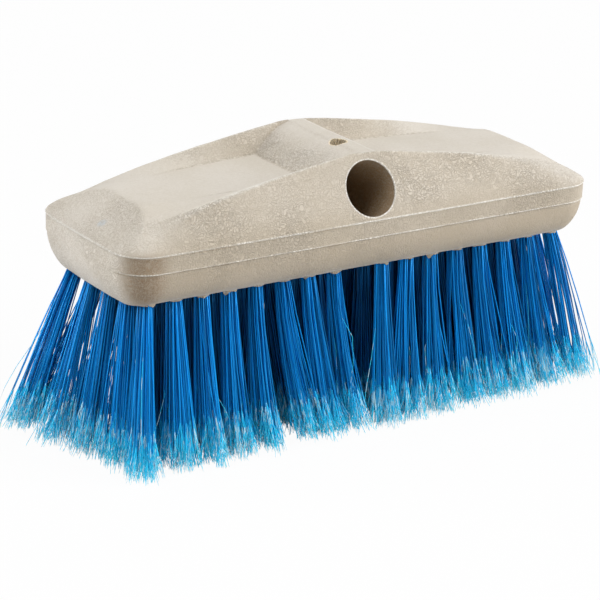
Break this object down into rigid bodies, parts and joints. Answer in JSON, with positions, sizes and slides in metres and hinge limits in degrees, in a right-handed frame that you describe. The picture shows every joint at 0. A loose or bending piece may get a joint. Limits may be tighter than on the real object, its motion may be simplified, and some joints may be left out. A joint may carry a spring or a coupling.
{
  "type": "wash brush head",
  "caption": "Long wash brush head: a moulded foam block with two arched rails, a slanted blind handle socket with a lock hole, and flared bristle tufts underneath.",
  "frame": {"origin": "middle of the footprint, on the plane of the trimmed bristle tips", "axes": "+X along the block, +Z from the bristles up to the block, and the handle socket opens towards -Y and up"},
  "size_m": [0.213, 0.0686, 0.1058],
  "materials": {
    "foam": "matt moulded structural foam, warm grey cream, with a fine leathery crinkle and a light moulding line along its band",
    "bristle": "glossy translucent blue filaments, navy deep between the tufts, with pale split tips"
  },
  "bodies": {
    "root": {"brush_block": "foam", "tuft_front_01": "bristle", "tuft_back_01": "bristle", "tuft_front_02": "bristle", "tuft_back_02": "bristle", "tuft_front_03": "bristle", "tuft_back_03": "bristle", "tuft_front_04": "bristle", "tuft_back_04": "bristle", "tuft_front_05": "bristle", "tuft_back_05": "bristle", "tuft_front_06": "bristle", "tuft_back_06": "bristle", "tuft_front_07": "bristle", "tuft_back_07": "bristle", "tuft_front_08": "bristle", "tuft_back_08": "bristle", "tuft_front_09": "bristle", "tuft_back_09": "bristle", "tuft_front_10": "bristle", "tuft_back_10": "bristle", "tuft_front_11": "bristle", "tuft_back_11": "bristle", "tuft_front_12": "bristle", "tuft_back_12": "bristle", "tuft_front_13": "bristle", "tuft_back_13": "bristle", "tuft_front_14": "bristle", "tuft_back_14": "bristle", "tuft_front_15": "bristle", "tuft_back_15": "bristle", "tuft_front_16": "bristle", "tuft_back_16": "bristle", "tuft_left_end_1": "bristle", "tuft_left_end_2": "bristle", "tuft_left_end_3": "bristle", "tuft_right_end_1": "bristle", "tuft_right_end_2": "bristle", "tuft_right_end_3": "bristle", "tuft_inner_02": "bristle", "tuft_inner_03": "bristle", "tuft_inner_04": "bristle", "tuft_inner_05": "bristle", "tuft_inner_06": "bristle", "tuft_inner_07": "bristle", "tuft_inner_08": "bristle", "tuft_inner_09": "bristle", "tuft_inner_10": "bristle", "tuft_inner_11": "bristle", "tuft_inner_12": "bristle", "tuft_inner_13": "bristle", "tuft_inner_14": "bristle", "tuft_inner_15": "bristle"}
  },
  "joints": []
}
